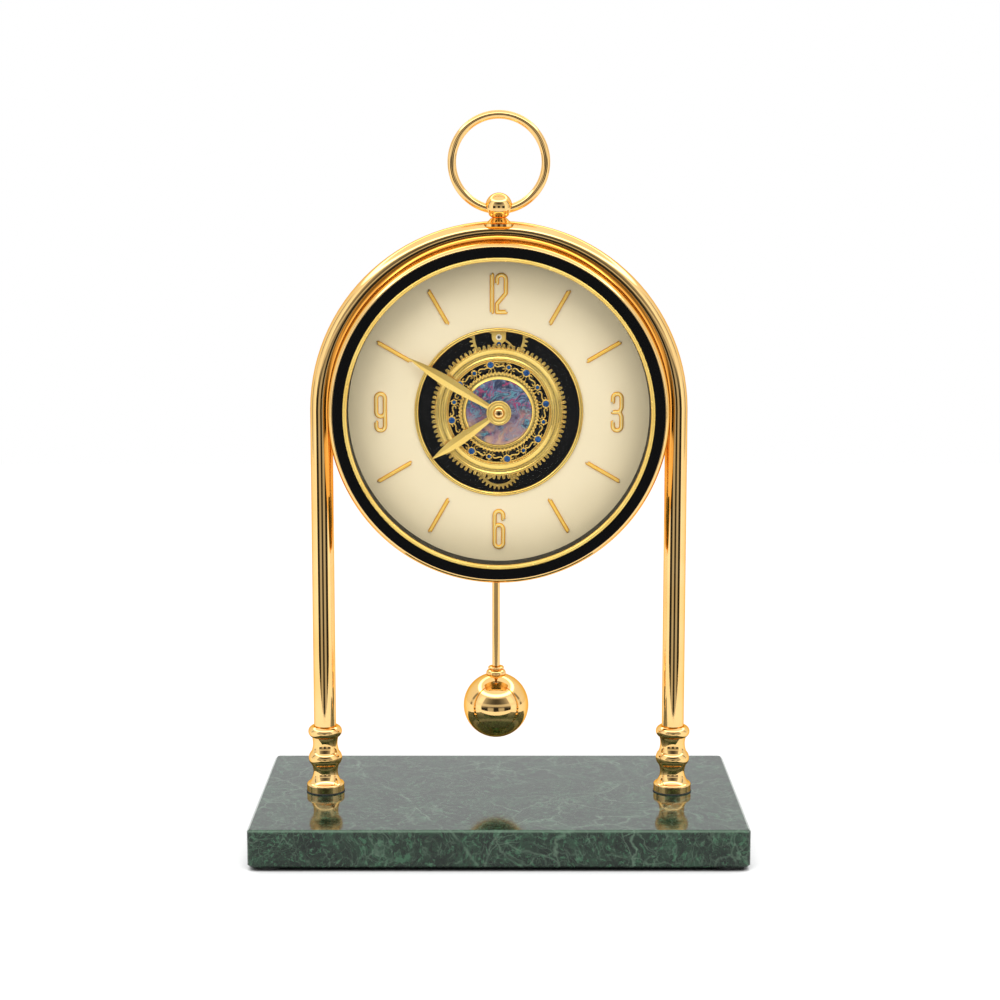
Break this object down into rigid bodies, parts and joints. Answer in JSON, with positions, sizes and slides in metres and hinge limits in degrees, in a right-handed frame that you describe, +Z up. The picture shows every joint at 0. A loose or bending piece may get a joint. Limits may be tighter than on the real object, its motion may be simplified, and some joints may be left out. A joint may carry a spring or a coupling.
{
  "type": "desk pendulum clock",
  "caption": "Gold desk clock on a green marble slab: a tube arch holds a round case whose dial opens on a jewelled gear train, with a ball pendulum below and a carry ring on top.",
  "frame": {"origin": "on the table surface, at the middle of the box round the whole clock", "axes": "+Z up, -Y to the front, so the dial faces -Y, and +X to the viewer's right"},
  "size_m": [0.26, 0.15, 0.3898],
  "materials": {
    "polished_gold": "polished gold plate",
    "brushed_gold": "brushed gold plate",
    "blackened_steel": "satin black",
    "plain_brass": "plain turned brass",
    "steel": "plain steel",
    "green_marble": "polished green marble with pale veins",
    "black_rubber": "matt black",
    "black_enamel": "gloss black enamel",
    "cream_dial": "satin cream",
    "clear_glass": "clear",
    "blue_stone": "cut and polished blue",
    "shell": "iridescent shell",
    "black_plastic": "moulded black",
    "cell_wrap": "plain wrapped cell"
  },
  "bodies": {
    "clock": {"bezel": "polished_gold", "sight_ring": "polished_gold", "arch_tube": "polished_gold", "left_column_foot": "polished_gold", "right_column_foot": "polished_gold", "finial_collar": "polished_gold", "finial_ball": "polished_gold", "opening_rim": "polished_gold", "hour_batons": "polished_gold", "hour_numerals": "polished_gold", "upper_cock": "brushed_gold", "case_drum": "brushed_gold", "rear_cover": "blackened_steel", "dial_seat": "plain_brass", "cover_seat": "plain_brass", "movement_bush": "plain_brass", "bush_nut": "plain_brass", "pendulum_bracket": "plain_brass", "base_bolts": "steel", "finial_stud": "steel", "stud_nut": "steel", "case_screws": "steel", "rear_screws": "steel", "lower_stud": "steel", "pivot_pin": "steel", "battery_contacts": "steel", "cock_jewel": "steel", "marble_base": "green_marble", "rubber_feet": "black_rubber", "black_bezel_ring": "black_enamel", "dial_wall": "black_enamel", "gear_well": "black_enamel", "dial_plate": "cream_dial", "front_glass": "clear_glass", "cap_jewel": "blue_stone", "movement_housing": "black_plastic", "battery": "cell_wrap"},
    "minute_hand_set": {"minute_hand": "polished_gold", "minute_arbor": "plain_brass", "hand_cap": "polished_gold"},
    "hour_hand_set": {"hour_hand": "polished_gold", "hour_pipe": "plain_brass"},
    "setting_knob_set": {"setting_knob": "black_plastic"},
    "display_wheel": {"ring_gear": "brushed_gold", "filigree": "brushed_gold", "blue_jewels": "blue_stone", "inner_ring": "brushed_gold", "shell_disc": "shell", "display_sleeve": "plain_brass", "upper_drive_gear": "blackened_steel", "lower_drive_gear": "blackened_steel"},
    "upper_wheel_set": {"upper_wheel": "brushed_gold", "upper_arbor": "steel"},
    "lower_wheel_set": {"lower_wheel": "brushed_gold"},
    "pendulum": {"pendulum_eye": "plain_brass", "pendulum_rod": "polished_gold", "pendulum_pommel": "polished_gold", "pendulum_bob": "polished_gold"},
    "carry_handle": {"carry_ring": "polished_gold"}
  },
  "joints": [
    {"name": "minute_turn", "type": "hinge", "parent": "clock", "child": "minute_hand_set", "pos_m": [0, 0, 0.2312], "axis": [0, 1, 0], "continuous": true},
    {"name": "hour_turn", "type": "hinge", "parent": "clock", "child": "hour_hand_set", "pos_m": [0, 0, 0.2312], "axis": [0, 1, 0], "continuous": true},
    {"name": "setting_turn", "type": "hinge", "parent": "clock", "child": "setting_knob_set", "pos_m": [0.014, 0.024, 0.2452], "axis": [0, 1, 0], "continuous": true},
    {"name": "display_turn", "type": "hinge", "parent": "clock", "child": "display_wheel", "pos_m": [0, 0, 0.2312], "axis": [0, 1, 0], "continuous": true},
    {"name": "upper_wheel_turn", "type": "hinge", "parent": "clock", "child": "upper_wheel_set", "pos_m": [0, 0, 0.27095], "axis": [0, 1, 0], "continuous": true},
    {"name": "lower_wheel_turn", "type": "hinge", "parent": "clock", "child": "lower_wheel_set", "pos_m": [0, 0, 0.20158], "axis": [0, 1, 0], "continuous": true},
    {"name": "pendulum_swing", "type": "hinge", "parent": "clock", "child": "pendulum", "pos_m": [-0.0016, 0.026, 0.2112], "axis": [0, 1, 0], "range_deg": [-4, 4]},
    {"name": "carry_ring_tilt", "type": "hinge", "parent": "clock", "child": "carry_handle", "pos_m": [0, 0, 0.338], "axis": [1, 0, 0], "range_deg": [-90, 90]}
  ],
  "couplings": [
    {"joint": "hour_turn", "follows": "minute_turn", "ratio": 0.083333},
    {"joint": "setting_turn", "follows": "minute_turn", "ratio": -1},
    {"joint": "upper_wheel_turn", "follows": "display_turn", "ratio": -1.65},
    {"joint": "lower_wheel_turn", "follows": "display_turn", "ratio": -1.4688}
  ]
}
